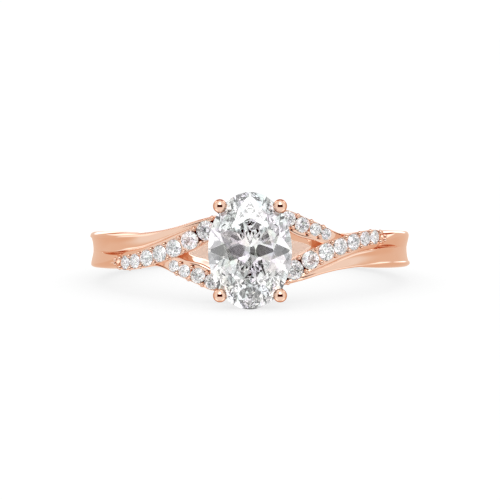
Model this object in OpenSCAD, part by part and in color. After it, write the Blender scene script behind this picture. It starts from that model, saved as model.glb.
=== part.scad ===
// Split shank ring: an oval stone in four ball prongs on a fluted shank, which divides on
// each side into a plain strand and two strands set with small round stones.
//
// The origin is the centre of the finger hole. Before the ring is tipped to lie at rest,
// the finger axis is Z and the head points to -Y. Half a turn about Y maps the ring onto
// itself, so each form is made for one side and turned for the other. A place on the
// ring is an angle from the head, positive to the left, a radius and a height along Z.

/* [Shank] */
// Diameter of the finger hole
finger_d = 17.3; // [16.9:0.1:17.7]
// Thickness from the finger hole to the top of the rims
shank_t = 1.6; // [1.5:0.05:1.7]
// Width of the shank at the sides
side_w = 2.34; // [2.2:0.02:2.5]
// Width of the shank at the back
back_w = 1.9; // [1.7:0.05:2.1]
// Depth of the channel between the rims
channel_depth = 0.18; // [0.08:0.02:0.22]

/* [Centre stone] */
// Length of the oval stone
stone_l = 7; // [6.9:0.05:7.1]
// Width of the oval stone
stone_w = 5; // [4.9:0.05:5.1]
// Height of its girdle over the top of the rims
girdle_h = 2.15; // [2.05:0.05:2.4]

/* [Prongs and gallery] */
// Diameter of a prong's wire
prong_d = 0.72; // [0.64:0.02:0.8]
// Diameter of the ball at a prong's tip
ball_d = 0.8; // [0.74:0.02:0.86]
// Diameter of the gallery rail's wire
rail_d = 0.52; // [0.4:0.04:0.6]

/* [Small stones] */
// Gap between a stone and the metal that holds it
seat_gap = 0.02; // [0.01:0.005:0.025]
// Diameter of the beads that hold the small stones
bead_d = 0.27; // [0.23:0.02:0.29]

/* [Hidden] */
finger_r = finger_d / 2;
rim_r = finger_r + shank_t;
girdle_r = rim_r + girdle_h;
inside = 0.4;           // how far swept solids reach into the finger hole before it is cut
$fn = 48;

// The shank, in rows from the head to the back. Heights along Z.
// [angle, top edge, middle rim, lower rim, bottom edge]
ANGLE = 0;
TOP = 1;
MIDDLE = 2;
LOWER = 3;
BOTTOM = 4;
side = side_w / 2;
back = back_w / 2;
lean = 0.05;            // the shank lies this much off centre at the sides
SHANK = [
    [11, 2.20, 2.00, 1.72, 1.45],
    [15, 1.99, 1.76, 1.42, 1.15],
    [19, 1.81, 1.53, 1.10, 0.85],
    [22, 1.65, 1.33, 0.85, 0.60],
    [25, 1.49, 1.12, 0.62, 0.40],
    [29, 1.33, 0.88, 0.40, 0.15],
    [32, 1.23, 0.64, 0.20, -0.05],
    [36, 1.14, 0.41, 0.02, -0.22],
    [40, 1.07, 0.21, -0.12, -0.45],
    [44, 1.06, 0.10, -0.20, -0.75],
    [48, 1.09, 0.01, -0.22, -1.02],
    [54, side - lean, -0.11, -0.50, -1.15],
    [60, side - lean, -0.13, -0.70, -side],
    [66, side - lean, -0.09, -0.86, -side - lean],
    [74, side - lean, -0.08, -1.00, -side - lean],
    [90, side - lean, -0.08, -1.00, -side - lean],
    [125, (side + back) / 2, 0, 0.24 - (side + back) / 2, -(side + back) / 2],
    [160, back, 0.00, 0.30 - back, -back],
    [180, back, 0.00, 0.30 - back, -back]
];
MIDDLE_RIM_START = 66;  // angle at which the plain strand's lower rim begins to rise
MIDDLE_RIM_FULL = 57;   // angle at which it is as high as the upper rim
LOWER_RIM_FULL = 54;    // angle at which the lower rim begins to sink into the stone strand
LOWER_RIM_GONE = 46;    // angle at which it has sunk

// A strand with small stones, in rows from its short end across the head to its long end.
// [angle, height, width of the stone there, 1 where a stone sits]
HEIGHT = 1;
WIDTH = 2;
SET = 3;
STRAND = [
    [-38.0, 0.62, 0.56, 0],
    [-32.5, 0.72, 0.62, 0],
    [-27.4, 0.975, 0.73, 1],
    [-23.25, 1.265, 0.79, 1],
    [-18.2, 1.54, 0.94, 1],
    [-13.2, 1.90, 0.93, 1],
    [-7.0, 2.13, 0.92, 0],
    [0.0, 2.20, 0.92, 0],
    [6.0, 2.03, 0.98, 0],
    [10.5, 1.67, 1.08, 0],
    [15.2, 1.19, 1.20, 1],
    [21.2, 0.59, 1.12, 1],
    [27.35, 0.11, 1.07, 1],
    [33.05, -0.22, 1.02, 1],
    [38.8, -0.50, 1.01, 1],
    [44.4, -0.70, 0.90, 1],
    [49.4, -0.79, 0.86, 1],
    [54.5, -0.81, 0.56, 0],
    [60.0, -0.80, 0.34, 0]
];
strand_drop = 0.04;     // how far a strand's top lies below the rims
short_drop = 0.10;      // and at its short end, which passes under the other strand
top_of_head = 2.9;      // height that it stays below where it crosses the head
edge_drop = 0.045;      // how far its top edge stays below the shank's
function has_stone(i, side_of_head) =
    STRAND[i][SET] == 1 && STRAND[i][ANGLE] * side_of_head > 0;
// The rows with stones on each side, the one nearest the head first
LONG_STONES = [for (i = [0:len(STRAND) - 1]) if (has_stone(i, 1)) i];
SHORT_STONES = [for (i = [len(STRAND) - 1:-1:0]) if (has_stone(i, -1)) i];
STONE_ROWS = concat(LONG_STONES, SHORT_STONES);

// Proportions of a brilliant cut, as shares of the girdle's width
table_share = 0.56;
crown_share = 0.15;
pavilion_share = 0.43;
girdle_share = 0.03;

// The prongs stand just outside the girdle
prong_x = 0.718 * stone_w / 2;
prong_z = 0.761 * stone_l / 2;
foot_share = 0.79;      // how far out a prong's foot is, against its tip
foot_r = rim_r - 0.65;
ball_r = girdle_r + 0.30;
rail_r = girdle_r - 1.05;
base_r = rim_r - 0.55;
base_d = 0.8;

// The ring lies on the oval stone's lower end and on the shank's lower edge at the back
back_mid_r = rim_r - 0.5;
rest_tilt = atan((stone_l / 2 - back) / (girdle_r + back_mid_r));

function numbered(words, rows) = [for (i = [1:len(rows)]) str(words, i)];

gold = "#E0A080";
clear = "#F4F7FA";

function mix(a, b, t) = a + (b - a) * t;
function step_up(a, b, x) =
    let (t = min(max((x - a) / (b - a), 0), 1)) t * t * (3 - 2 * t);
function polar(angle, r, z) = [-r * sin(angle), -r * cos(angle), z];

// A smooth curve through the rows of a table: its value in one column at x
function row_before(rows, x, i = 0) =
    i >= len(rows) - 2 || x <= rows[i + 1][ANGLE] ? i : row_before(rows, x, i + 1);
function row_slope(rows, i, column) =
    let (a = rows[max(i - 1, 0)], b = rows[min(i + 1, len(rows) - 1)])
    (b[column] - a[column]) / (b[ANGLE] - a[ANGLE]);
function along(rows, x, column) =
    let (
        i = row_before(rows, x),
        h = rows[i + 1][ANGLE] - rows[i][ANGLE],
        t = (x - rows[i][ANGLE]) / h,
        a = rows[i][column],
        b = rows[i + 1][column],
        a_slope = row_slope(rows, i, column) * h,
        b_slope = row_slope(rows, i + 1, column) * h
    )
    a * (1 + 2 * t) * (1 - t) * (1 - t) + a_slope * t * (1 - t) * (1 - t)
        + b * t * t * (3 - 2 * t) - b_slope * t * t * (1 - t);

// A closed solid through rings of points, all with the same number of points
module loft(rings) {
    n = len(rings[0]);
    last = len(rings) - 1;
    polyhedron(
        points = [for (ring = rings) each ring],
        faces = concat(
            [for (i = [0:last - 1]) for (j = [0:n - 1])
                [i * n + j, i * n + (j + 1) % n, (i + 1) * n + (j + 1) % n, (i + 1) * n + j]],
            [[for (j = [n - 1:-1:0]) j]],
            [[for (j = [0:n - 1]) last * n + j]]
        )
    );
}

// Section of the shank at an angle from the head: [radius, height] points from the top
// edge in the finger hole round the outside to the bottom edge
function channel_r(z, high, low, depth) =
    let (t = (2 * z - high - low) / (high - low)) rim_r - depth * (1 - t * t);
function shank_section(angle) =
    let (
        top = along(SHANK, angle, TOP),
        middle = along(SHANK, angle, MIDDLE),
        lower = along(SHANK, angle, LOWER),
        bottom = along(SHANK, angle, BOTTOM),
        lip = mix(0.12, 0.32, step_up(38, 60, angle)),
        crest = top - lip,
        end_drop = 0.4 * step_up(17, 11, angle),
        fade = step_up(150, 100, angle),
        depth = channel_depth * fade - 0.06 * (1 - fade),
        split = 1 - step_up(MIDDLE_RIM_FULL, MIDDLE_RIM_START, angle),
        narrow = min((crest - middle) / 0.9, 1),
        sunk = step_up(LOWER_RIM_FULL, LOWER_RIM_GONE, angle),
        low_r = rim_r - 0.45 * sunk,
        upper_channel = [for (t = [0.12, 0.3, 0.5, 0.7, 0.88])
            let (z = mix(crest, middle, t))
            [mix(channel_r(z, crest, -crest, depth),
                channel_r(z, crest, middle, depth * narrow), split), z]],
        middle_r = mix(channel_r(middle, crest, -crest, depth), rim_r, split),
        crease = middle - 0.13,
        lower_channel = [for (t = [0, 0.35, 0.7])
            let (z = mix(crease, lower, t))
            [mix(channel_r(z, crest, -crest, depth), low_r, t * t)
                - (0.05 * split + 0.2 * sunk) * (1 - t), z]]
    )
    [for (p = concat(
        [
            [finger_r - inside, top - 0.16],
            [finger_r + 0.1, top - 0.14],
            [mix(finger_r, rim_r, 0.3), top - 0.03],
            [mix(finger_r, rim_r, 0.5), top],
            [mix(finger_r, rim_r, 0.75), top - 0.25 * lip],
            [mix(finger_r, rim_r, 0.94), top - 0.65 * lip],
            [rim_r, crest]
        ],
        upper_channel,
        [[middle_r, middle]],
        lower_channel,
        [
            [low_r, lower],
            [mix(finger_r, low_r, 0.94), mix(lower, bottom, 0.4)],
            [mix(finger_r, low_r, 0.75), mix(lower, bottom, 0.8)],
            [mix(finger_r, rim_r, 0.5), bottom],
            [mix(finger_r, rim_r, 0.3), bottom + 0.03],
            [finger_r + 0.1, bottom + 0.14],
            [finger_r - inside, bottom + 0.16]
        ]
    )) [p[0] > finger_r + 0.5 ? p[0] - end_drop : p[0], p[1]]];
function ring_at(angle) = [for (p = shank_section(angle)) polar(angle, p[0], p[1])];
function turned(ring) = [for (i = [len(ring) - 1:-1:0]) [-ring[i][0], ring[i][1], -ring[i][2]]];

module shank() {
    near = [for (a = [11:2.5:76]) a];
    far = [for (a = [80:10:170]) a];
    half = [for (a = concat(near, far)) ring_at(a)];
    loft(concat(half, [ring_at(180)], [for (i = [len(half) - 1:-1:0]) turned(half[i])]));
}

// A strand with small stones, which stays below the shank's top edge on its long side. Its
// shoulder runs up under the plain strand's lower rim where the two lie side by side.
function strand_slope(angle) =
    (along(STRAND, angle + 1, HEIGHT) - along(STRAND, angle - 1, HEIGHT))
        / (2 * rim_r * PI / 180);
function strand_r(angle) =
    rim_r - mix(short_drop, strand_drop, step_up(-30, -20, angle))
        - 0.45 * step_up(52, 60, angle) - 0.25 * step_up(-28, -36, angle)
        - 0.15 * step_up(14, 6, abs(angle));
function strand_section(angle) =
    let (
        z = along(STRAND, angle, HEIGHT),
        slant = sqrt(1 + pow(strand_slope(angle), 2)),
        half = along(STRAND, angle, WIDTH) / 2,
        long_side = step_up(8, 14, angle),
        tail = 1 - step_up(50, 60, angle),
        shank_top = along(SHANK, max(angle, 11), TOP),
        ceiling = mix(top_of_head, shank_top - edge_drop, step_up(3, 11, angle)),
        up = min((half + mix(0.01, 0.03, long_side)) * slant, ceiling - 0.08 - z),
        plain = min(up + mix(0.05, 0.20 * tail + 0.04, long_side) * slant, ceiling - z),
        cover = step_up(17, 22, angle) * (1 - step_up(48, 54, angle)),
        under_rim = along(SHANK, max(angle, 11), MIDDLE) - 0.035 - z,
        shoulder = mix(plain, max(plain, under_rim), cover),
        web = 0.18 * step_up(-21, -25, angle) * step_up(-34, -29, angle),
        down = (half + mix(0.11, 0.04, step_up(-20, 20, angle)) + web) * slant,
        flare = 0.25 * step_up(-6, -14, angle) * step_up(-34, -27, angle),
        draft = 0.14 * long_side,
        r = strand_r(angle)
    )
    [
        [finger_r - inside, z + shoulder - 0.08],
        [finger_r + 0.4, z + shoulder],
        [r - mix(0.28, 0.09, cover), z + shoulder],
        [r - mix(0.12, 0.05, cover), z + mix(up, shoulder, 0.7)],
        [r, z + up],
        [r, z - down + 0.07],
        [r - 0.03, z - down + 0.02],
        [r - 0.14, z - down],
        [finger_r + 0.4, z - down + 0.7 * draft - 0.7 * flare],
        [finger_r - inside, z - down + draft - flare]
    ];

module strand() {
    loft([for (a = [-37.2:2.43:60]) [for (p = strand_section(a)) polar(a, p[0], p[1])]]);
}

module both_ways() {
    children();
    rotate([0, 180, 0]) children();
}

// Puts its children on a strand, with +Z away from the finger and +X along the strand
module on_strand(angle, z, r, turn = 0) {
    rotate([0, 0, -angle]) translate([0, -r, z]) rotate([90, 0, 0]) rotate([0, 0, turn])
        children();
}

// A cut stone: table up, girdle's middle at Z = 0
function cut_ring(n, r, z, start = 0) =
    [for (i = [0:n - 1]) [r * cos(start + i * 360 / n), r * sin(start + i * 360 / n), z]];

// A small stone: eight facets round its table, a girdle with sixteen sides and a point below
module small_stone(width) {
    r = width / 2;
    edge = girdle_share * r;
    polyhedron(
        points = concat(
            cut_ring(8, table_share * r, crown_share * width),
            cut_ring(16, r, edge),
            cut_ring(16, r, -edge),
            [[0, 0, -pavilion_share * width]]
        ),
        faces = concat(
            [[for (i = [7:-1:0]) i]],
            [for (i = [0:7]) [i, (i + 1) % 8, 8 + 2 * i + 1]],
            [for (i = [0:7]) [i, 8 + 2 * i + 1, 8 + 2 * i]],
            [for (i = [0:7]) [(i + 1) % 8, 8 + (2 * i + 2) % 16, 8 + 2 * i + 1]],
            [for (i = [0:15]) [8 + i, 8 + (i + 1) % 16, 24 + (i + 1) % 16, 24 + i]],
            [for (i = [0:15]) [24 + i, 24 + (i + 1) % 16, 40]]
        )
    );
}

stone_sink = 0.06;      // how far a small stone's girdle lies below the strand's top
module at_stone(row) {
    angle = STRAND[row][ANGLE];
    on_strand(angle, STRAND[row][HEIGHT], strand_r(angle) - stone_sink) children();
}

// The seat cut for a small stone: a cone below its girdle and a round hole above it
module seat(row) {
    width = STRAND[row][WIDTH];
    r = width / 2 + seat_gap;
    low = -pavilion_share * width - 0.06;
    high = 0.3;
    at_stone(row) rotate_extrude()
        polygon([[0, low], [0.06, low], [r, -0.03], [r, high], [0, high]]);
}

// Beads stand on both edges of the strand, between each stone and the next and past the
// last stone at each end. The places along one row of stones, as angles:
bead_reach = 0.11;      // from the last stone's edge to the bead's middle
bead_side = 0.43;       // how far a bead is from the strand's middle, as a share of a stone
bead_rise = 0.01;       // how far a bead's middle is above the strand's top
function past_end(row, way) =
    let (angle = STRAND[row][ANGLE], slant = sqrt(1 + pow(strand_slope(angle), 2)))
    angle + way * (STRAND[row][WIDTH] / 2 + bead_reach) / slant / rim_r * 180 / PI;
// Where two stones of different width meet
function between(a, b) = (a[ANGLE] * b[WIDTH] + b[ANGLE] * a[WIDTH]) / (a[WIDTH] + b[WIDTH]);
function bead_stops(rows) =
    let (way = STRAND[rows[1]][ANGLE] > STRAND[rows[0]][ANGLE] ? 1 : -1, last = len(rows) - 1)
    concat(
        [past_end(rows[0], -way)],
        [for (i = [1:last]) between(STRAND[rows[i - 1]], STRAND[rows[i]])],
        [past_end(rows[last], way)]
    );
// The short end's last stone leans on the other strand, which leaves no room for beads there
function inner_stops(rows) =
    let (stops = bead_stops(rows)) [for (i = [0:len(stops) - 2]) stops[i]];
module beads() {
    for (angle = concat(bead_stops(LONG_STONES), inner_stops(SHORT_STONES))) {
        z = along(STRAND, angle, HEIGHT);
        off = bead_side * along(STRAND, angle, WIDTH);
        on_strand(angle, z, strand_r(angle) + bead_rise, -atan(strand_slope(angle)))
            for (way = [-1, 1]) translate([0, way * off, 0]) sphere(d = bead_d);
    }
}

// Oval brilliant, with the facets of a round one stretched along Z
module oval_cut(grow = 0) {
    w = stone_w + 2 * grow;
    edge = 0.05 + grow / 2;
    table_r = table_share * w / 2;
    crown = crown_share * stone_w + grow;
    pavilion = pavilion_share * stone_w + grow;
    star_r = mix(table_r * cos(22.5), w / 2, 0.5);
    star_z = mix(crown, edge, (star_r * cos(22.5) - table_r) / (w / 2 - table_r));
    low_r = 0.24 * w / 2;
    low_z = mix(-pavilion, -edge, low_r * cos(22.5) / (w / 2));
    scale([1, (stone_l + 2 * grow) / w, 1])
        polyhedron(
            points = concat(
                cut_ring(8, table_r, crown),
                cut_ring(8, star_r, star_z, 22.5),
                cut_ring(32, w / 2, edge),
                cut_ring(32, w / 2, -edge),
                cut_ring(8, low_r, low_z, 22.5),
                [[0, 0, -pavilion]]
            ),
            faces = concat(
                [[for (i = [7:-1:0]) i]],
                [for (i = [0:7]) [i, (i + 1) % 8, 8 + i]],
                [for (i = [0:7]) [i, 8 + i, 16 + 4 * i, 8 + (i + 7) % 8]],
                [for (i = [0:7]) for (j = [0:1]) let (k = 4 * i + 2 * j)
                    [8 + i, 16 + (k + 2) % 32, 16 + k + 1, 16 + k]],
                [for (i = [0:31]) [16 + i, 16 + (i + 1) % 32, 48 + (i + 1) % 32, 48 + i]],
                [for (i = [0:7]) for (j = [0:1]) let (k = 4 * i + 2 * j)
                    [80 + i, 48 + k, 48 + k + 1, 48 + (k + 2) % 32]],
                [for (i = [0:7]) [80 + (i + 7) % 8, 48 + 4 * i, 80 + i, 88]]
            )
        );
}

module at_head() {
    translate([0, -girdle_r, 0]) rotate([90, 0, 0]) children();
}

// An oval ring of wire round the head's axis
module oval_wire(half_w, half_l, r, wire) {
    function wire_ring(a) = [for (b = [0:36:359])
        [(half_w + wire / 2 * cos(b)) * cos(a), -r - wire / 2 * sin(b),
            (half_l + wire / 2 * cos(b)) * sin(a)]];
    n = 36;
    m = 10;
    polyhedron(
        points = [for (i = [0:n - 1]) each wire_ring(i * 360 / n)],
        faces = [for (i = [0:n - 1]) for (j = [0:m - 1])
            [i * m + j, i * m + (j + 1) % m, ((i + 1) % n) * m + (j + 1) % m, ((i + 1) % n) * m + j]]
    );
}

module rod(from, to, d) {
    way = to - from;
    translate(from) rotate([0, acos(way[2] / norm(way)), atan2(way[1], way[0])])
        cylinder(h = norm(way), d = d);
}

module head() {
    for (x = [-1, 1]) for (z = [-1, 1]) {
        tip = [x * prong_x, -ball_r, z * prong_z];
        foot = [x * prong_x * foot_share, -foot_r, z * prong_z * foot_share];
        rod(foot, tip, prong_d);
        translate(tip) sphere(d = ball_d);
    }
    oval_wire(0.41 * stone_w, 0.44 * stone_l, rail_r, rail_d);
    oval_wire(0.27 * stone_w, 0.29 * stone_l, base_r, base_d);
}

module gold_ring() {
    color(gold) difference() {
        union() {
            difference() {
                union() {
                    shank();
                    both_ways() strand();
                }
                both_ways() for (row = STONE_ROWS) seat(row);
            }
            both_ways() beads();
            head();
        }
        at_head() oval_cut(seat_gap);
        cylinder(h = 4 * stone_l, r = finger_r, center = true, $fn = 180);
    }
}

module oval_stone() {
    color(clear) at_head() oval_cut();
}

module pave_stone(row, turned) {
    color(clear) rotate([0, turned ? 180 : 0, 0]) at_stone(row) small_stone(STRAND[row][WIDTH]);
}

// Tips the ring so that its head is raised, as it lies on a table
module resting() {
    rotate([-rest_tilt, 0, 0]) children();
}

resting() gold_ring();
resting() oval_stone();
// A turned stone sits on the other side of the head
for (set = [["left_long_", LONG_STONES, false], ["right_long_", LONG_STONES, true],
        ["left_short_", SHORT_STONES, true], ["right_short_", SHORT_STONES, false]])
    for (i = [0:len(set[1]) - 1])
        resting() pave_stone(set[1][i], set[2]);
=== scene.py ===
import math

import bmesh
import bpy
from mathutils import Matrix, Vector


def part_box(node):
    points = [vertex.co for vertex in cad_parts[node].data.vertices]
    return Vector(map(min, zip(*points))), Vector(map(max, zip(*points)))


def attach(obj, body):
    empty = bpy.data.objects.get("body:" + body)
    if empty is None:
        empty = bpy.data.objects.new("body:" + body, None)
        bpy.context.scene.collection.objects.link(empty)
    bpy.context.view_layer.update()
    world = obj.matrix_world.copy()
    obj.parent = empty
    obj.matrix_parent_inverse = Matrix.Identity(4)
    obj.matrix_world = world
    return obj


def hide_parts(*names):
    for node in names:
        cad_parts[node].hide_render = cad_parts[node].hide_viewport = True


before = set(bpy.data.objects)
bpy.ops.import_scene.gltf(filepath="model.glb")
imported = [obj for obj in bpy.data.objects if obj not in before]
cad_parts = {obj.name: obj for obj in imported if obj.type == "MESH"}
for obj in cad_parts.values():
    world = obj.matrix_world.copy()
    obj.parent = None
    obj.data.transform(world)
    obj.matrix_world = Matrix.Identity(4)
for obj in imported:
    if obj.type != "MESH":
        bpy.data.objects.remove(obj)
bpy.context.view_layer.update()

# The ring is worked in millimetres, standing straight: the finger axis is Z, the head points
# to -Y, and half a turn about Y maps the ring onto itself. Each finished piece is then tipped
# as the ring rests and turned to metres. A place on the ring is an angle from the head,
# positive to the left, a radius and a height.
FINGER_R = 8.65  # the finger hole
RIM_R = 10.25  # the band's outer side
GIRDLE_R = 12.4  # the oval stone's girdle
STONE_W = 5.0
STONE_L = 7.0
SIDE, BACK = 1.17, 0.95  # half the band's width at its sides and at its back
LEAN = 0.05  # how far the band's left side lies below the middle plane, and its right side above
CHANNEL_DEPTH = 0.14  # the channel between the shank's two rims
BACK_CROWN = 0.06  # how far the back bulges instead
INNER_CROWN = 0.09  # how far the inner side's edges stand back from the finger
INNER_ROUND = 0.14  # how far from each edge the inner side starts to round
BED_DEPTH = 0.09  # how deep the small stones' bed lies between a strand's edges
FOOT_IN = 0.5  # how far inside the rim the back touches the table
REST_TILT = math.atan((STONE_L / 2 - BACK) / (GIRDLE_R + RIM_R - FOOT_IN))
HALF_TURN = Matrix.Rotation(math.pi, 4, "Y")
AT_HEAD = Matrix.Translation((0, -GIRDLE_R, 0)) @ Matrix.Rotation(math.pi / 2, 4, "X")

# The shank: angle, top edge, middle rim, lower rim, bottom edge
ANGLE, TOP, MIDDLE, LOWER, BOTTOM = range(5)
SHANK = [
    (11, 2.20, 2.00, 1.72, 1.45),
    (15, 1.99, 1.76, 1.42, 1.15),
    (19, 1.81, 1.53, 1.10, 0.85),
    (22, 1.65, 1.33, 0.85, 0.60),
    (25, 1.49, 1.12, 0.62, 0.40),
    (29, 1.33, 0.88, 0.40, 0.15),
    (32, 1.23, 0.64, 0.20, -0.05),
    (36, 1.14, 0.41, 0.02, -0.22),
    (40, 1.07, 0.21, -0.12, -0.45),
    (44, 1.06, 0.10, -0.20, -0.75),
    (48, 1.09, 0.01, -0.22, -1.02),
    (54, SIDE - LEAN, -0.11, -0.50, -1.15),
    (60, SIDE - LEAN, -0.13, -0.70, -SIDE),
    (66, SIDE - LEAN, -0.09, -0.83, -SIDE - LEAN),
    (74, SIDE - LEAN, -0.08, -0.91, -SIDE - LEAN),
    (90, SIDE - LEAN, -0.08, -0.88, -SIDE - LEAN),
    (125, (SIDE + BACK) / 2, 0.0, 0.24 - (SIDE + BACK) / 2, -(SIDE + BACK) / 2),
    (160, BACK, 0.0, 0.30 - BACK, -BACK),
    (180, BACK, 0.0, 0.30 - BACK, -BACK),
]
SHANK_START = SHANK[0][ANGLE]

# A strand with small stones: angle, height, width of the stone there, 1 where a stone sits
HEIGHT, WIDTH, SET = 1, 2, 3
STRAND = [
    (-38.0, 0.62, 0.56, 0),
    (-32.5, 0.72, 0.62, 0),
    (-27.4, 0.975, 0.73, 1),
    (-23.25, 1.265, 0.79, 1),
    (-18.2, 1.54, 0.94, 1),
    (-13.2, 1.90, 0.93, 1),
    (-7.0, 2.13, 0.92, 0),
    (0.0, 2.20, 0.92, 0),
    (6.0, 2.03, 0.98, 0),
    (10.5, 1.67, 1.08, 0),
    (15.2, 1.19, 1.20, 1),
    (21.2, 0.59, 1.12, 1),
    (27.35, 0.11, 1.07, 1),
    (33.05, -0.22, 1.02, 1),
    (38.8, -0.50, 1.01, 1),
    (44.4, -0.70, 0.90, 1),
    (49.4, -0.79, 0.86, 1),
    (54.5, -0.81, 0.56, 0),
    (60.0, -0.80, 0.34, 0),
]
LONG_STONES = [row for row in STRAND if row[SET] and row[ANGLE] > 0]
SHORT_STONES = [row for row in reversed(STRAND) if row[SET] and row[ANGLE] < 0]

# The beads between the stones: their radius, how far under their middle the foot starts, how much
# wider it is, how far past a row's end stone they go, and how far from the strand's middle they
# are, as a share of the stone's width there
BEAD_R, FOOT_TOP, FOOT_SPREAD, BEAD_REACH, BEAD_SIDE = 0.132, -0.03, 1.2, 0.11, 0.42
# Beads past the end of a long row, on the shank's own surface: angle, radius and height
TAIL_BEADS = [(54.9, 10.24, -0.63), (54.4, 10.02, -1.08), (56.0, 10.13, -0.84)]

# A cut stone's table and its girdle's corners, from its middle, as shares of its width
TABLE, CORNER = 0.28, 0.5


# Numbers and places


def mix(a, b, t):
    return a + (b - a) * t


def step_up(a, b, x):
    """0 up to a, 1 from b on, and smooth between them."""
    t = min(max((x - a) / (b - a), 0), 1)
    return t * t * (3 - 2 * t)


def step_down(a, b, x):
    return 1 - step_up(a, b, x)


def hump(a, b, c, d, x):
    """0 up to a, 1 from b to c, and 0 again from d on."""
    return step_up(a, b, x) * step_down(c, d, x)


def polar(angle, r, z):
    a = math.radians(angle)
    return Vector((-r * math.sin(a), -r * math.cos(a), z))


def along(rows, x, column):
    """A smooth curve through the rows of a table: its value in one column at x."""
    i = 0
    while i < len(rows) - 2 and x > rows[i + 1][ANGLE]:
        i += 1

    def slope(k):
        a, b = rows[max(k - 1, 0)], rows[min(k + 1, len(rows) - 1)]
        return (b[column] - a[column]) / (b[ANGLE] - a[ANGLE])

    h = rows[i + 1][ANGLE] - rows[i][ANGLE]
    t = (x - rows[i][ANGLE]) / h
    return (
        rows[i][column] * (1 + 2 * t) * (1 - t) ** 2
        + slope(i) * h * t * (1 - t) ** 2
        + rows[i + 1][column] * t * t * (3 - 2 * t)
        - slope(i + 1) * h * t * t * (1 - t)
    )


def on_band(angle, r, z, turn=0.0):
    """A place on the band, with +Z away from the finger and +X along the band."""
    return (
        Matrix.Rotation(math.radians(-angle), 4, "Z")
        @ Matrix.Translation((0, -r, z))
        @ Matrix.Rotation(math.pi / 2, 4, "X")
        @ Matrix.Rotation(turn, 4, "Z")
    )


# Working the pieces by hand


def pick(*pieces):
    """Selects these pieces alone."""
    if bpy.context.mode != "OBJECT":
        bpy.ops.object.mode_set(mode="OBJECT")
    bpy.ops.object.select_all(action="DESELECT")
    for piece in pieces:
        piece.select_set(True)
    bpy.context.view_layer.objects.active = pieces[-1]


def begin(name):
    """Names the primitive that was just added and opens it for work."""
    piece = bpy.context.object
    piece.name = piece.data.name = name
    bpy.ops.object.mode_set(mode="EDIT")
    return piece


def end(piece, merge=0.0):
    """Ends the work on a piece: corners closer than merge become one, and faces point outwards."""
    bpy.ops.mesh.select_all(action="SELECT")
    if merge:
        bpy.ops.mesh.remove_doubles(threshold=merge)
    bpy.ops.mesh.normals_make_consistent(inside=False)
    bpy.ops.object.mode_set(mode="OBJECT")
    return piece


def set_corners(piece, numbers, outline):
    """Sets the corners with these numbers in the mesh to an outline."""
    shape = bmesh.from_edit_mesh(piece.data)
    shape.verts.ensure_lookup_table()
    for number, place in zip(numbers, outline):
        shape.verts[number].co = place
    bmesh.update_edit_mesh(piece.data)


def drawn(name, outlines, closed=False):
    """A bar drawn out from its first outline: each next one is extruded from the last."""
    bpy.ops.object.select_all(action="DESELECT")
    count = len(outlines[0])
    bpy.ops.mesh.primitive_circle_add(vertices=count, radius=1, fill_type="NOTHING")
    piece = begin(name)
    numbers = list(range(count))
    set_corners(piece, numbers, outlines[0])
    for outline in outlines[1:]:
        bpy.ops.mesh.extrude_region()
        shape = bmesh.from_edit_mesh(piece.data)
        shape.verts.ensure_lookup_table()
        new = []
        for number in numbers:
            vert = shape.verts[number]
            new.append(next(e.other_vert(vert).index for e in vert.link_edges
                            if e.other_vert(vert).select and not vert.select))
        numbers = new
        set_corners(piece, numbers, outline)
    bpy.ops.mesh.select_all(action="DESELECT")
    bpy.ops.mesh.select_mode(type="EDGE")
    bpy.ops.mesh.select_non_manifold()
    if closed:
        bpy.ops.mesh.bridge_edge_loops()
    else:
        bpy.ops.mesh.edge_face_add()
    bpy.ops.mesh.select_mode(type="VERT")
    return end(piece)


def smoothed(piece):
    pick(piece)
    smooth = piece.modifiers.new("smooth", "SUBSURF")
    smooth.levels = smooth.render_levels = 2
    bpy.ops.object.modifier_apply(modifier=smooth.name)
    return piece


def cut_away(piece, cutter):
    """Cuts the cutter's shape out of a piece."""
    pick(piece)
    cut = piece.modifiers.new("cut", "BOOLEAN")
    cut.operation = "DIFFERENCE"
    cut.solver = "EXACT"
    cut.object = cutter
    bpy.ops.object.modifier_apply(modifier=cut.name)


def joined(name, pieces):
    pick(*pieces)
    bpy.ops.object.join()
    piece = bpy.context.object
    piece.name = piece.data.name = name
    return piece


def copied(piece, name, matrix):
    """A copy with its own mesh, moved in the mesh."""
    copy = piece.copy()
    copy.data = piece.data.copy()
    copy.name = copy.data.name = name
    bpy.context.collection.objects.link(copy)
    copy.data.transform(matrix)
    return copy


def both_ways(piece):
    """The piece and its copy after half a turn about the head's axis."""
    return [piece, copied(piece, piece.name, HALF_TURN)]


def laid_down(piece, node, finish, smooth_angle=None):
    """Tips a finished piece as the ring rests, turns it to metres and gives it its finish."""
    pick(piece)
    piece.rotation_euler = (-REST_TILT, 0, 0)
    piece.scale = (0.001, 0.001, 0.001)
    bpy.ops.object.transform_apply(location=True, rotation=True, scale=True)
    if smooth_angle:
        bpy.ops.object.shade_smooth_by_angle(angle=math.radians(smooth_angle))
    piece.data.materials.clear()
    piece.data.materials.append(finish)
    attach(piece, "root")
    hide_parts(node)


# Finishes

WHITE = "#FFFFFF"
# A Mix node's sockets go by number, because its numbers and its colours have the same names
SHARE, NUMBER_A, NUMBER_B, COLOUR_A, COLOUR_B, COLOUR_OUT = 0, 2, 3, 6, 7, 2


def linear(code):
    """An sRGB hex colour as linear red, green, blue and alpha."""
    shares = [int(code[i:i + 2], 16) / 255 for i in (1, 3, 5)]
    return [s / 12.92 if s <= 0.04045 else ((s + 0.055) / 1.055) ** 2.4 for s in shares] + [1]


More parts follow.
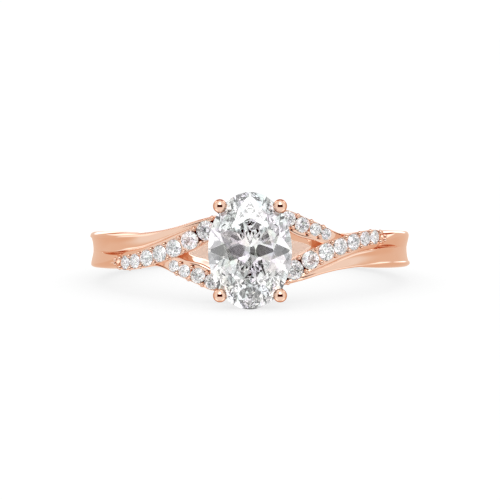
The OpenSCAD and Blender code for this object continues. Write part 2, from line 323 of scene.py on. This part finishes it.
def add(tree, kind, sockets=(), **own):
    """Adds a node with settings of its own. sockets holds pairs: a socket's name or number, and
    what goes in there, which is another node's output, a number or a colour."""
    node = tree.nodes.new(kind)
    for name, value in own.items():
        setattr(node, name, value)
    for socket, value in sockets:
        if isinstance(value, bpy.types.NodeSocket):
            tree.links.new(node.inputs[socket], value)
        else:
            node.inputs[socket].default_value = value
    return node


def new_finish(name):
    finish = bpy.data.materials.new(name)
    finish.use_nodes = True
    tree = finish.node_tree
    tree.nodes.clear()
    return finish, tree, add(tree, "ShaderNodeTexCoord").outputs["Object"]


def polished_rose_gold(name, edge):
    """14 carat rose gold, cast and then polished on a felt wheel. The eye sees a soft pink mirror
    that goes to a deep copper orange where it mirrors itself, with the faintest wave and haze
    that the wheel leaves. edge is a painted rim shade, a tint where the metal turns away from the
    eye: none on the wide band, and copper on the beads and prongs, where it paints in the
    reflection of the gold around them."""
    finish, tree, place = new_finish(name)

    # 900 waves to the metre are 1.1 mm long. The haze, 0.2 mm, is coarser than a real wheel's
    wave = add(tree, "ShaderNodeTexNoise", [("Vector", place), ("Scale", 900.0), ("Detail", 2.0)])
    haze = add(tree, "ShaderNodeTexNoise", [("Vector", place), ("Scale", 5000.0), ("Detail", 3.0)])
    tone = add(tree, "ShaderNodeMix", [
        (SHARE, wave.outputs["Fac"]), (COLOUR_A, linear("#F0CEB9")), (COLOUR_B, linear("#ECC7B0")),
    ], data_type="RGBA")
    gloss = add(tree, "ShaderNodeMapRange", [
        ("Value", haze.outputs["Fac"]), ("To Min", 0.015), ("To Max", 0.05)])

    # Inside the finger hole, up to 8.8 mm from its axis, the metal is left satin, and its colour is
    # painted a lighter pink there, a painted lightening of the bore
    upright = add(tree, "ShaderNodeMapping", [("Vector", place), ("Rotation", (REST_TILT, 0, 0))])
    across = add(tree, "ShaderNodeVectorMath", [(0, upright.outputs["Vector"]), (1, (1, 1, 0))],
                 operation="MULTIPLY")
    radius = add(tree, "ShaderNodeVectorMath", [(0, across.outputs["Vector"])], operation="LENGTH")
    satin_and_painted_pallor = add(tree, "ShaderNodeMapRange", [
        ("Value", radius.outputs["Value"]), ("From Min", 0.00876), ("From Max", 0.00884),
        ("To Min", 0.60), ("To Max", 0.0)])
    rough = add(tree, "ShaderNodeMath", [
        (0, gloss.outputs["Result"]), (1, satin_and_painted_pallor.outputs["Result"])], operation="ADD")
    # The painted lightening: the bore's colour is mixed towards a pale pink
    painted_pale_bore = add(tree, "ShaderNodeMix", [
        (SHARE, satin_and_painted_pallor.outputs["Result"]), (COLOUR_A, tone.outputs[COLOUR_OUT]),
        (COLOUR_B, linear("#FFF0E4")),
    ], data_type="RGBA")
    bump = add(tree, "ShaderNodeBump", [
        ("Height", wave.outputs["Fac"]), ("Strength", 0.12), ("Distance", 0.00002)])
    metal = add(tree, "ShaderNodeBsdfPrincipled", [
        ("Base Color", painted_pale_bore.outputs[COLOUR_OUT]), ("Roughness", rough.outputs["Value"]),
        ("Normal", bump.outputs["Normal"]), ("Metallic", 1.0), ("Specular Tint", linear(edge))])
    add(tree, "ShaderNodeOutputMaterial", [("Surface", metal.outputs["BSDF"])])
    return finish


def cut_diamond(name, painted_fleck_scale, painted_dark_share):
    """Diamond, cut with flat facets and polished clear. The eye sees white and grey flashes, and
    the stone's colour adds painted ones: painted flecks with a trace of colour for the light that
    the facets split, and a share of painted dark flecks for facets that lead the eye past the
    light.
    painted_fleck_scale is how many painted flecks go on a metre."""
    finish, tree, place = new_finish(name)
    # Painted flecks: the stone's colour is made of random cells, each lightly tinted, which paint
    # in the fire of split light
    painted_fire_cells = add(tree, "ShaderNodeTexVoronoi", [("Vector", place), ("Scale", painted_fleck_scale)])
    tint = add(tree, "ShaderNodeMix", [
        (SHARE, 0.16), (COLOUR_A, linear(WHITE)), (COLOUR_B, painted_fire_cells.outputs["Color"]),
    ], data_type="RGBA")
    part = add(tree, "ShaderNodeSeparateColor", [("Color", painted_fire_cells.outputs["Color"])])
    # A share of the cells is painted dark grey: painted shade for facets that lead the eye past the
    # light
    dark = add(tree, "ShaderNodeMapRange", [
        ("Value", part.outputs["Green"]), ("From Min", 1 - painted_dark_share),
        ("From Max", 1.05 - painted_dark_share), ("To Min", 0.0), ("To Max", 0.8)])
    painted_flash = add(tree, "ShaderNodeMix", [
        (SHARE, dark.outputs["Result"]), (COLOUR_A, tint.outputs[COLOUR_OUT]),
        (COLOUR_B, linear("#30363E")),
    ], data_type="RGBA")
    gem = add(tree, "ShaderNodeBsdfPrincipled", [
        ("Base Color", painted_flash.outputs[COLOUR_OUT]), ("Roughness", 0.0), ("IOR", 2.6),
        ("Transmission Weight", 1.0)])
    add(tree, "ShaderNodeOutputMaterial", [("Surface", gem.outputs["BSDF"])])
    return finish


# The second gold is the same metal with a painted rim shade: its copper edge tint paints in the
# reflection of the gold round the prongs and beads
BAND_GOLD = polished_rose_gold("polished rose gold", WHITE)
GOLD_WITH_PAINTED_RIM_SHADE = polished_rose_gold("rose gold with painted rim shade", "#C07E58")
# The oval's painted flecks are 0.67 mm wide, and the small stones' 0.125 mm
MAIN_DIAMOND = cut_diamond("oval diamond with painted flecks", 1500.0, 0.12)
SMALL_DIAMOND = cut_diamond("small diamond with painted flecks", 8000.0, 0.22)


# The shank


def channel_r(z, high, low, depth):
    t = (2 * z - high - low) / (high - low)
    return RIM_R - depth * (1 - t * t)


def shank_outline(angle):
    """The shank's section: the top edge, the upper rim, the channel with the plain strand's own
    lower rim, the lower rim and the bottom edge."""
    top, middle, lower, bottom = (along(SHANK, angle, c) for c in (TOP, MIDDLE, LOWER, BOTTOM))
    # The rounded top edge is low on the plain strand and higher on the band
    lip = mix(0.12, 0.32, step_up(38, 60, angle))
    crest = top - lip
    # split is 1 where the plain strand stands alone, and sunk is 1 where what lies below it goes
    # under the small stones. wide is 1 at the band's sides, whose edges roll outwards. The notch
    # is the narrow crease under the plain strand, where the small stones' strand ends.
    split = step_down(57, 66, angle)
    sunk = step_down(46, 54, angle)
    wide = hump(50, 66, 100, 130, angle)
    notch = 0.5 * hump(48, 53, 62, 67, angle)
    # The start sinks into the head, and the back has a slight bulge in place of the channel
    start_drop = 0.4 * step_down(11, 17, angle)
    near_half = step_down(100, 150, angle)
    depth = CHANNEL_DEPTH * near_half - BACK_CROWN * (1 - near_half)
    narrow = min((crest - middle) / 0.9, 1)
    low_r = RIM_R - 0.45 * sunk
    # The top edge, from the finger outwards, and the upper rim
    points = [
        (FINGER_R + INNER_CROWN, top - INNER_ROUND),
        (FINGER_R + 0.20, top - 0.04),
        (mix(FINGER_R, RIM_R, 0.3), top + 0.01 + 0.01 * wide),
        (mix(FINGER_R, RIM_R, 0.6), top + 0.01 + 0.03 * wide),
        (RIM_R - 0.85 * lip - 0.06 - 0.08 * wide, top + 0.03 * wide),
        (RIM_R - 0.7 * lip + 0.02 * wide, top - 0.12 * lip + 0.04 * wide),
        (RIM_R - 0.35 * lip + 0.04 * wide, top - 0.5 * lip + 0.09 * wide),
        (RIM_R - 0.02 + 0.05 * wide, crest + 0.05 + 0.10 * wide),
        (RIM_R - 0.003 + 0.068 * wide, crest + 0.025 + 0.03 * wide),
        (RIM_R + 0.01 + 0.05 * wide, crest),
    ]
    # The channel, as far as the plain strand's lower rim
    for t in (0.04, 0.15, 0.3, 0.5, 0.7, 0.85, 0.96):
        z = mix(crest, middle, t)
        points.append((mix(channel_r(z, crest, -crest, depth),
                           channel_r(z, crest, middle, depth * narrow), split), z))
    # That rim, with the crease right under it
    middle_r = mix(channel_r(middle, crest, -crest, depth), RIM_R + 0.01, split)
    points += [
        (middle_r, middle),
        (middle_r - 0.01 * split, middle - 0.03),
        (middle_r - 0.02 * split - notch, middle - 0.05),
        (middle_r - 0.04 * split - notch, middle - 0.09),
    ]
    # The rest of the channel
    for t in (0.0, 0.35, 0.7, 0.95):
        z = mix(middle - 0.13, lower, t)
        points.append((mix(channel_r(z, crest, -crest, depth), low_r, t * t)
                       - (0.05 * split + 0.2 * sunk) * (1 - t), z))
    # The lower rim and the bottom edge, back to the finger
    points += [
        (low_r + 0.01, lower),
        (low_r - 0.01 * wide, lower - 0.04 - 0.06 * wide),
        (mix(FINGER_R, low_r, 0.94), mix(lower, bottom, 0.4 + 0.24 * wide)),
        (mix(FINGER_R, low_r, 0.75 + 0.07 * wide), mix(lower, bottom, 0.8 + 0.08 * wide)),
        (mix(FINGER_R, RIM_R, 0.5), bottom),
        (mix(FINGER_R, RIM_R, 0.3), bottom),
        (FINGER_R + 0.20, bottom + 0.04),
        (FINGER_R + INNER_CROWN, bottom + INNER_ROUND),
    ]
    points = [(r - start_drop if r > FINGER_R + 0.5 else r, z) for r, z in points]
    points += [(FINGER_R + INNER_CROWN * (2 * t - 1) ** 2,
                mix(bottom + INNER_ROUND, top - INNER_ROUND, t)) for t in (0.2, 0.5, 0.8)]
    return [polar(angle, r, z) for r, z in points]


def make_shank():
    near = [SHANK_START + 2.5 * i for i in range(27)]
    far = [81 + 5 * i for i in range(20)]
    half = [shank_outline(a) for a in near + far]
    turned = [[HALF_TURN @ p for p in outline] for outline in reversed(half)]

    # After half a turn the outline runs the other way round, so it is put back in order. Its
    # last three points are those of the inner side.
    count, inner = len(half[0]), 3
    turned = [[o[(count - inner - 1 - k) % count] for k in range(count)] for o in turned]
    return smoothed(drawn("shank", half + [shank_outline(180)] + turned))


# The strands with small stones


def strand_slope(angle):
    rise = along(STRAND, angle + 1, HEIGHT) - along(STRAND, angle - 1, HEIGHT)
    return rise / (2 * RIM_R * math.pi / 180)


def strand_r(angle):
    """The radius of a strand's top. Both its ends and its middle, behind the oval stone, are
    sunk a little."""
    return (
        RIM_R - mix(0.10, 0.04, step_up(-30, -20, angle))
        - 0.45 * step_up(52, 60, angle) - 0.25 * step_down(-36, -28, angle)
        - 0.15 * step_down(6, 14, abs(angle))
    )


def strand_outline(angle):
    """A strand's section: a shoulder that runs up under the plain strand's lower rim, two thin
    edges with the stones' bed between them, and the wall down to the finger."""
    z = along(STRAND, angle, HEIGHT)
    r = strand_r(angle)
    slant = math.sqrt(1 + strand_slope(angle) ** 2)
    half = along(STRAND, angle, WIDTH) / 2
    long_side = step_up(8, 14, angle)
    tail = step_down(50, 60, angle)
    # No part comes out over the shank's top edge, and near the plain strand, where cover is 1,
    # the shoulder goes as far as its lower rim
    on_shank = max(angle, SHANK_START)
    ceiling = mix(2.9, along(SHANK, on_shank, TOP) - 0.045, step_up(3, 11, angle))
    up = min((half + mix(0.01, 0.03, long_side)) * slant, ceiling - 0.08 - z)
    shoulder = min(up + mix(0.05, 0.20 * tail + 0.04, long_side) * slant, ceiling - z)
    cover = hump(17, 22, 48, 54, angle)
    under_rim = along(SHANK, on_shank, MIDDLE) - 0.035 - z
    shoulder = mix(shoulder, max(shoulder, under_rim), cover)
    # The web is a rounded shoulder on the short side, towards the gap between the strands. The
    # wall under it flares on the short side and has a slight draft on the long one.
    web = 0.18 * hump(-34, -29, -14, -9, angle)
    down = (half + mix(0.11, 0.04, step_up(-20, 20, angle)) + web) * slant
    flare = 0.25 * hump(-34, -27, -14, -6, angle)
    draft = 0.14 * long_side
    points = [
        (FINGER_R, z + shoulder - 0.08),
        (FINGER_R + 0.4, z + shoulder),
        (r - mix(0.28, 0.09, cover), z + shoulder),
        (r - mix(0.12, 0.05, cover), z + mix(up, shoulder, 0.7)),
        (r - 0.01, z + up + 0.02),
        (r, z + up),
        (r, z + up - 0.03),
        (r - BED_DEPTH, z + up - 0.08),
        (r - BED_DEPTH, z + 0.25 * up),
        (r - BED_DEPTH, z - 0.25 * down),
        (r - BED_DEPTH, z - down + 0.12 + web),
        (r, z - down + 0.07 + 0.6 * web),
        (r - 0.2 * web, z - down + 0.04 + 0.25 * web),
        (r - 0.03 - 0.35 * web, z - down + 0.01),
        (r - 0.14 - 0.35 * web, z - down),
        (FINGER_R + 0.4, z - down + 0.7 * draft - 0.7 * flare),
        (FINGER_R, z - down + draft - flare),
        (FINGER_R, z - 0.3 * down),
        (FINGER_R, z + 0.3 * up),
    ]
    return [polar(angle, p, q) for p, q in points]


def make_strand():
    angles = [-37.2 + 1.62 * i for i in range(61)]
    return smoothed(drawn("strand", [strand_outline(a) for a in angles]))


def stone_place(row):
    """Where a small stone's girdle lies, just under the strand's top."""
    return on_band(row[ANGLE], strand_r(row[ANGLE]) - 0.06, row[HEIGHT])


def seat_cutters(rows):
    """Cutters for the stones' seats: a round hole above the girdle and a cone below it."""
    cutters = []
    for row in rows:
        play, deep = 0.012, 0.43 * row[WIDTH] + 0.05
        bpy.ops.object.select_all(action="DESELECT")
        bpy.ops.mesh.primitive_cylinder_add(vertices=40, radius=row[WIDTH] / 2 + play, depth=0.45,
                                            location=(0, 0, 0.2))
        cutter = begin("cutter")
        shape = bmesh.from_edit_mesh(cutter.data)
        for face in shape.faces:
            face.select = face.normal.z < -0.9
        bmesh.update_edit_mesh(cutter.data)
        bpy.ops.mesh.extrude_region_move(TRANSFORM_OT_translate={"value": (0, 0, -deep)})
        bpy.ops.transform.resize(value=(0.12, 0.12, 1))
        bpy.ops.object.mode_set(mode="OBJECT")
        pick(cutter)
        bpy.ops.object.transform_apply(location=True, rotation=True, scale=True)
        cutter.data.transform(stone_place(row))
        cutters.append(cutter)
    return joined("cutters", cutters)


# Cut stones


def grind(place, out):
    """Grinds one facet: all that is outside the plane through this place goes."""
    bpy.ops.mesh.select_all(action="SELECT")
    bpy.ops.mesh.bisect(plane_co=place, plane_no=out, use_fill=True, clear_outer=True,
                        threshold=0.000001)


def facet(a, b, c):
    """Grinds the facet that goes through three places."""
    out = (b - a).cross(c - a).normalized()
    grind(a, -out if out.dot(a) < 0 else out)


def round_place(angle, r, z, width=1, length=1):
    """A place in a stone, at an angle round it and r times its width and length from its axis."""
    a = math.radians(angle)
    return Vector((r * width * math.cos(a), r * length * math.sin(a), z))


def oval_place(angle, r, z):
    return round_place(angle, r, z, STONE_W, STONE_L)


def halves(at, turn, girdle, inner):
    """Two facets from a point on the crown or the pavilion to the girdle beside it."""
    for corner in (turn, turn + 45):
        facet(at(corner, CORNER, girdle), at(turn + 22.5, CORNER, girdle), inner)


def crown_facets(at, turn, crown, girdle):
    """An eighth of a crown: a main, a star and two halves. at is the stone's own place function."""
    star_r = mix(TABLE * math.cos(math.pi / 8), CORNER, 0.5)
    star_z = mix(crown, girdle, (star_r * math.cos(math.pi / 8) - TABLE) / (CORNER - TABLE))
    star, star_before = at(turn + 22.5, star_r, star_z), at(turn - 22.5, star_r, star_z)
    facet(at(turn, CORNER, girdle), star, star_before)
    facet(at(turn, TABLE, crown), at(turn + 45, TABLE, crown), star)
    halves(at, turn, girdle, star)


def make_brilliant(name, girdle):
    """A brilliant of width 1: a table with 8 stars, 8 mains and 16 halves round it, and
    8 mains and 16 halves below the girdle."""
    crown, pavilion, low_r = 0.151 + girdle, 0.431 + girdle, 0.12
    low_z = mix(-pavilion, -girdle, low_r * math.cos(math.pi / 8) / CORNER)
    bpy.ops.object.select_all(action="DESELECT")
    bpy.ops.mesh.primitive_cylinder_add(vertices=96, radius=CORNER, depth=2)
    piece = begin(name)
    grind((0, 0, crown), (0, 0, 1))
    for turn in range(0, 360, 45):
        crown_facets(round_place, turn, crown, girdle)
        low, low_before = (round_place(turn + side, low_r, low_z) for side in (22.5, -22.5))
        facet(round_place(turn, CORNER, -girdle), low, low_before)
        halves(round_place, turn, -girdle, low)
    return end(piece, 0.0005)


def pavilion_place(angle, s, depth, edge):
    """A place on the oval's lower side: s is the share of the way from its point to its girdle.
    The long ends bulge, so that they get steeper towards the girdle."""
    bulge = mix(1.0, 1.5, math.sin(math.radians(angle)) ** 2)
    return oval_place(angle, s / 2, -edge - (depth - edge) * (1 - s ** bulge))


def make_oval():
    """An oval brilliant: a crown as on a round stone, and a pavilion whose long ends have an
    extra row of facets, which break the light into small flashes."""
    crown, depth, edge = 0.75, 2.15, 0.05
    bpy.ops.object.select_all(action="DESELECT")
    bpy.ops.mesh.primitive_cylinder_add(vertices=96, radius=CORNER, depth=6)
    piece = begin("oval_brilliant")
    bpy.ops.transform.resize(value=(STONE_W, STONE_L, 1), center_override=(0, 0, 0))
    grind((0, 0, crown), (0, 0, 1))
    for turn in range(0, 360, 45):
        crown_facets(oval_place, turn, crown, edge)

    def tangent(angle, s):
        """Grinds a facet that touches the pavilion at one place."""
        place = pavilion_place(angle, s, depth, edge)
        out = (pavilion_place(angle + 1, s, depth, edge) - place).cross(
            pavilion_place(angle, s + 0.01, depth, edge) - place).normalized()
        grind(place, out if out.z < 0 else -out)

    for turn in range(0, 360, 45):
        tangent(turn, 0.4)
        long_end = math.sin(math.radians(turn + 22.5)) ** 2
        low = pavilion_place(turn + 22.5, mix(0.24, 0.6, long_end), depth, edge)
        halves(oval_place, turn, -edge, low)
    for angle in (22.5 * k for k in range(16)):
        if abs(math.sin(math.radians(angle))) > 0.6:
            tangent(angle, 0.72)
    return end(piece, 0.002)


# Beads, prongs and gallery


def bead_stops(rows):
    """The angles of a row's beads: one pair before its first stone, one between each stone and
    the next, and on a long row one pair past its last stone."""
    way = 1 if rows[1][ANGLE] > rows[0][ANGLE] else -1
    ends = []
    for row, side in ((rows[0], -way), (rows[-1], way)):
        slant = math.sqrt(1 + strand_slope(row[ANGLE]) ** 2)
        reach = (row[WIDTH] / 2 + BEAD_REACH) / slant / RIM_R
        ends.append(row[ANGLE] + side * math.degrees(reach))
    between = [(a[ANGLE] * b[WIDTH] + b[ANGLE] * a[WIDTH]) / (a[WIDTH] + b[WIDTH])
               for a, b in zip(rows, rows[1:])]
    return [ends[0]] + between + ([ends[1]] if rows is LONG_STONES else [])


def make_beads():
    """Beads raised from the metal between the stones, each with a short, wider foot."""
    bpy.ops.object.select_all(action="DESELECT")
    bpy.ops.mesh.primitive_uv_sphere_add(segments=16, ring_count=10, radius=BEAD_R)
    one = begin("bead")
    shape = bmesh.from_edit_mesh(one.data)
    for vert in shape.verts:
        vert.select = vert.co.z < FOOT_TOP
    shape.select_flush(True)
    bmesh.update_edit_mesh(one.data)
    bpy.ops.transform.resize(value=(FOOT_SPREAD, FOOT_SPREAD, 1.0), center_override=(0, 0, 0))
    bpy.ops.object.mode_set(mode="OBJECT")
    beads = []
    for angle in bead_stops(LONG_STONES) + bead_stops(SHORT_STONES):
        for way in (-1, 1):
            off = way * BEAD_SIDE * along(STRAND, angle, WIDTH)
            place = on_band(angle, strand_r(angle) - 0.005, along(STRAND, angle, HEIGHT),
                            -math.atan(strand_slope(angle)))
            beads.append(copied(one, "bead", place @ Matrix.Translation((0, off, 0))))
    beads += [copied(one, "bead", on_band(*place)) for place in TAIL_BEADS]
    bpy.data.objects.remove(one)
    return joined("beads", both_ways(joined("beads", beads)))


def round_outline(middle, across, up, r, count=32):
    return [middle + r * (math.cos(t) * across + math.sin(t) * up)
            for t in (2 * math.pi * k / count for k in range(count))]


def make_prong(x, z):
    """One prong: a wire from the shoulders of the ring to a ball over the stone's edge. The ball
    is 0.718 of the stone's half width and 0.761 of its half length from the stone's middle."""
    # How far the ball's middle is outside the girdle, how deep under the rim the wire starts, and
    # how far from the head's middle, as a share of the ball's distance
    out, sunk, closer = 0.30, 0.65, 0.79
    tip = Vector((x * 0.718 * STONE_W / 2, -GIRDLE_R - out, z * 0.761 * STONE_L / 2))
    foot = Vector((closer * tip.x, -RIM_R + sunk, closer * tip.z))
    way = (tip - foot).normalized()
    across = way.cross(Vector((0, 0, 1))).normalized()
    up = across.cross(way)
    ball, neck = 0.412, 0.31
    outlines = [round_outline(mix(foot, tip, t), across, up, mix(0.37, 0.35, t))
                for t in (0.0, 0.2, 0.4, 0.6, 0.8)]
    start, last, steps = math.asin(neck / ball), math.pi - 0.12, 14
    for k in range(steps):
        turn = mix(start, last, k / (steps - 1))
        outlines.append(round_outline(tip - ball * math.cos(turn) * way, across, up,
                                      ball * math.sin(turn)))
    return drawn("prong", outlines)


def make_oval_wire(name, half_w, half_l, r, thick):
    """A closed oval ring of round wire round the head's axis."""
    outlines = []
    for a in (2 * math.pi * k / 96 for k in range(96)):
        outlines.append([
            Vector(((half_w + thick / 2 * math.cos(b)) * math.cos(a), -r - thick / 2 * math.sin(b),
                    (half_l + thick / 2 * math.cos(b)) * math.sin(a)))
            for b in (2 * math.pi * n / 20 for n in range(20))
        ])
    return drawn(name, outlines, closed=True)


def make_strands(shank):
    """Both strands, with the stones' seats cut into them and into the shank under them. Stones
    that are neighbours get cutters of their own, because their seats may meet."""
    strand = make_strand()
    seats = [seat_cutters(LONG_STONES[k::2] + SHORT_STONES[k::2]) for k in (0, 1)]
    seats += [copied(seat, "far_seats", HALF_TURN) for seat in seats]
    for seat in seats:
        cut_away(strand, seat)
        cut_away(shank, seat)
        bpy.data.objects.remove(seat)
    return joined("pave_strands", both_ways(strand))


def make_gallery():
    """A rail under the stone's girdle and a base ring on the strands, open to the finger."""
    gallery = joined("gallery", [
        make_oval_wire("rail", 0.41 * STONE_W, 0.44 * STONE_L, GIRDLE_R - 1.05, 0.52),
        make_oval_wire("base", 0.27 * STONE_W, 0.29 * STONE_L, RIM_R - 0.55, 0.8),
    ])
    bpy.ops.object.select_all(action="DESELECT")
    bpy.ops.mesh.primitive_cylinder_add(vertices=256, radius=FINGER_R, depth=30)
    finger = bpy.context.object
    cut_away(gallery, finger)
    bpy.data.objects.remove(finger)
    return gallery


def make_prongs(oval):
    """The four prongs, each with a notch that follows the oval stone with a little play."""
    prongs = joined("prongs", [make_prong(x, z) for x in (-1, 1) for z in (-1, 1)])
    grown = 1.006
    notch = copied(oval, "notch", Matrix.Translation((0, -GIRDLE_R, 0))
                   @ Matrix.Diagonal((grown, grown, grown, 1))
                   @ Matrix.Translation((0, GIRDLE_R, 0)))
    cut_away(prongs, notch)
    bpy.data.objects.remove(notch)
    return prongs


def build_ring():
    shank = make_shank()
    strands = make_strands(shank)
    oval = make_oval()
    oval.data.transform(AT_HEAD)
    prongs = make_prongs(oval)
    gallery = make_gallery()
    metal = [(piece, BAND_GOLD) for piece in (shank, strands, gallery)]
    # The prongs and beads get the gold with the painted rim shade
    metal += [(piece, GOLD_WITH_PAINTED_RIM_SHADE) for piece in (prongs, make_beads())]
    for piece, finish in metal:
        laid_down(piece, "gold_ring", finish, smooth_angle=32)
        piece.visible_transmission = False
    laid_down(oval, "oval_stone", MAIN_DIAMOND)

    small = make_brilliant("small_brilliant", 0.015)
    for side, rows, far in (("left_long_", LONG_STONES, False), ("right_long_", LONG_STONES, True),
                            ("left_short_", SHORT_STONES, True),
                            ("right_short_", SHORT_STONES, False)):
        for number, row in enumerate(rows, 1):
            # Each stone in a row has its facets turned another way
            size = Matrix.Diagonal((row[WIDTH], row[WIDTH], row[WIDTH], 1))
            place = stone_place(row) @ Matrix.Rotation(0.7 * number, 4, "Z") @ size
            name = f"{side}{number}"
            stone = copied(small, name + "_cut", HALF_TURN @ place if far else place)
            laid_down(stone, name, SMALL_DIAMOND)
    bpy.data.objects.remove(small)


# Camera, floor and light

# Patches of light in degrees: the turn round the ring of a patch's middle, 0 at the camera and
# 180 behind, and its reach to each side, its height over the table and its reach up and down,
# how soft its edge is, and its level. Each lies over those before it, and on both sides alike.
# CLOTH is the level of the tent's cloth where no patch lies on it.
CLOTH = 0.9
METAL_LIGHT = [
    (0, 95, 0, 90, 15, 1.02),  # the front half of the tent
    (180, 85, -50, 40, 10, 0.87),  # the back half, below the table
    (0, 180, 90, 20, 8, 1.15),  # the top
    (134, 16, 37, 12, 4, 1.7),  # two lamps high at the back
    (165, 8, 12, 5, 3, 1.15),  # a glow under the two ends of the strip at the back
    (180, 14, -6, 3, 2, 1.4),  # a low strip at the back
    (180, 26, 16, 8, 3, 2.0),  # the strip at the back
    (98, 22, -52, 17, 6, 1.45),  # two low lamps at the sides
    (180, 36, 42, 17, 5, 0.45),  # dim cloth high at the back
    (0, 26, 50, 21, 4, 3.0),  # the softbox above the camera
    (0, 44, 7, 21, 2, 0.03),  # the dark opening that the camera looks in through
]
STONE_LIGHT = [
    (0, 180, 90, 30, 10, 1.3),  # the top
    (0, 30, 52, 17, 4, 1.8),  # the softbox above the camera
    (0, 20, 7, 4.5, 2, 0.1),  # the dark opening, which is smaller here
]


def set_camera():
    data = bpy.data.cameras.new("camera")
    data.sensor_width = 36
    data.lens = 191.5
    data.shift_y = -0.0024
    data.clip_start, data.clip_end = 0.01, 20
    camera = bpy.data.objects.new("camera", data)
    bpy.context.scene.collection.objects.link(camera)
    away, rise = 0.171, math.radians(7.1)
    camera.location = (0, -away * math.cos(rise), away * math.sin(rise))
    camera.rotation_euler = (math.pi / 2 - rise, 0, 0)
    bpy.context.scene.camera = camera


def set_light():
    """A tent of warm cloth round the ring, which gives the metal its soft stripes: a softbox
    above the camera, lamps and strips behind and at the sides, and the dark opening that the
    camera looks in through. The floor and what lies behind the ring are lit plain white. Light
    that comes out of a stone meets a tent with bright and dim flecks, which make it sparkle."""
    world = bpy.data.worlds.new("tent")
    bpy.context.scene.world = world
    world.use_nodes = True
    tree = world.node_tree
    tree.nodes.clear()
    way = add(tree, "ShaderNodeTexCoord").outputs["Generated"]
    part = add(tree, "ShaderNodeSeparateXYZ", [("Vector", way)])

    # The angle round the ring, the same on both sides, and the height over the table
    front = add(tree, "ShaderNodeMath", [(0, part.outputs["Y"]), (1, -1.0)], operation="MULTIPLY")
    bearing = add(tree, "ShaderNodeMath", [(0, part.outputs["X"]), (1, front.outputs[0])],
                  operation="ARCTAN2")
    turn = add(tree, "ShaderNodeMath", [(0, bearing.outputs[0])], operation="ABSOLUTE")
    height = add(tree, "ShaderNodeMath", [(0, part.outputs["Z"])], operation="ARCSINE")

    def lit(level, patches):
        """The light level with these patches laid over it."""
        for middle, reach, high, high_reach, soft, value in patches:
            masks = []
            for angle, centre, far in ((turn, middle, reach), (height, high, high_reach)):
                past = add(tree, "ShaderNodeMath", [
                    (0, angle.outputs[0]), (1, math.radians(centre))], operation="SUBTRACT")
                off = add(tree, "ShaderNodeMath", [(0, past.outputs[0])], operation="ABSOLUTE")
                masks.append(add(tree, "ShaderNodeMapRange", [
                    ("Value", off.outputs[0]), ("From Min", math.radians(far - soft)),
                    ("From Max", math.radians(far + soft)), ("To Min", 1.0), ("To Max", 0.0),
                ], interpolation_type="SMOOTHSTEP").outputs["Result"])
            mask = add(tree, "ShaderNodeMath", list(enumerate(masks)), operation="MULTIPLY")
            level = add(tree, "ShaderNodeMix", [
                (SHARE, mask.outputs[0]), (NUMBER_A, level), (NUMBER_B, value),
            ], data_type="FLOAT").outputs[0]
        return level

    # The tent's cloth is warm: where it is dim, its light is redder
    level = lit(CLOTH, METAL_LIGHT)
    dim = add(tree, "ShaderNodeMath", [(0, level), (1, 1.0)], operation="MINIMUM")
    warm = add(tree, "ShaderNodeCombineColor", [("Red", level)])
    for channel, power in (("Green", 2.2), ("Blue", 4.0)):
        kept = add(tree, "ShaderNodeMath", [(0, dim.outputs[0]), (1, power)], operation="POWER")
        light = add(tree, "ShaderNodeMath", [(0, level), (1, kept.outputs[0])],
                    operation="MULTIPLY")
        tree.links.new(warm.inputs[channel], light.outputs[0])

    # The bright and dim flecks that light out of a stone meets are about 14 degrees wide
    cells = add(tree, "ShaderNodeTexVoronoi", [("Vector", way), ("Scale", 4.0)])
    shade = add(tree, "ShaderNodeSeparateColor", [("Color", cells.outputs["Color"])])
    flecks = add(tree, "ShaderNodeMapRange", [
        ("Value", shade.outputs["Red"]), ("From Min", 0.0), ("From Max", 0.7),
        ("To Min", 0.05), ("To Max", 1.45)])
    stone = lit(flecks.outputs["Result"], STONE_LIGHT)

    ray = add(tree, "ShaderNodeLightPath")
    colour = linear(WHITE)
    for kind, light in (("Is Glossy Ray", warm.outputs["Color"]), ("Is Transmission Ray", stone)):
        colour = add(tree, "ShaderNodeMix", [
            (SHARE, ray.outputs[kind]), (COLOUR_A, colour), (COLOUR_B, light),
        ], data_type="RGBA").outputs[COLOUR_OUT]
    glow = add(tree, "ShaderNodeBackground", [("Color", colour)])
    add(tree, "ShaderNodeOutputWorld", [("Surface", glow.outputs["Background"])])


def set_floor():
    """A white board that the oval stone's lower end stands on, a little uneven every 17 mm. It
    glows, so that it is as white as the tent behind it."""
    bpy.ops.object.select_all(action="DESELECT")
    floor_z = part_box("oval_stone")[0].z
    bpy.ops.mesh.primitive_plane_add(size=6, location=(0, 0, floor_z))
    floor = bpy.context.object
    floor.name = floor.data.name = "floor"
    bpy.ops.object.transform_apply(location=True, rotation=True, scale=True)
    finish, tree, place = new_finish("white matte board")
    grain = add(tree, "ShaderNodeTexNoise", [("Vector", place), ("Scale", 60.0)])
    tone = add(tree, "ShaderNodeMix", [
        (SHARE, grain.outputs["Fac"]), (COLOUR_A, linear("#8C8C8C")), (COLOUR_B, linear("#898989")),
    ], data_type="RGBA")
    sheet = add(tree, "ShaderNodeBsdfPrincipled", [
        ("Base Color", tone.outputs[COLOUR_OUT]), ("Roughness", 0.6),
        ("Emission Color", linear(WHITE)), ("Emission Strength", 0.78),
        ("Specular IOR Level", 0.0)])
    add(tree, "ShaderNodeOutputMaterial", [("Surface", sheet.outputs["BSDF"])])
    floor.data.materials.append(finish)
    floor.visible_glossy = floor.visible_transmission = False


set_camera()
build_ring()
set_floor()
set_light()

scene = bpy.context.scene
scene.view_settings.view_transform = "Standard"
scene.cycles.caustics_reflective = False
scene.cycles.max_bounces = 24
scene.cycles.glossy_bounces = 16
scene.cycles.transmission_bounces = 20
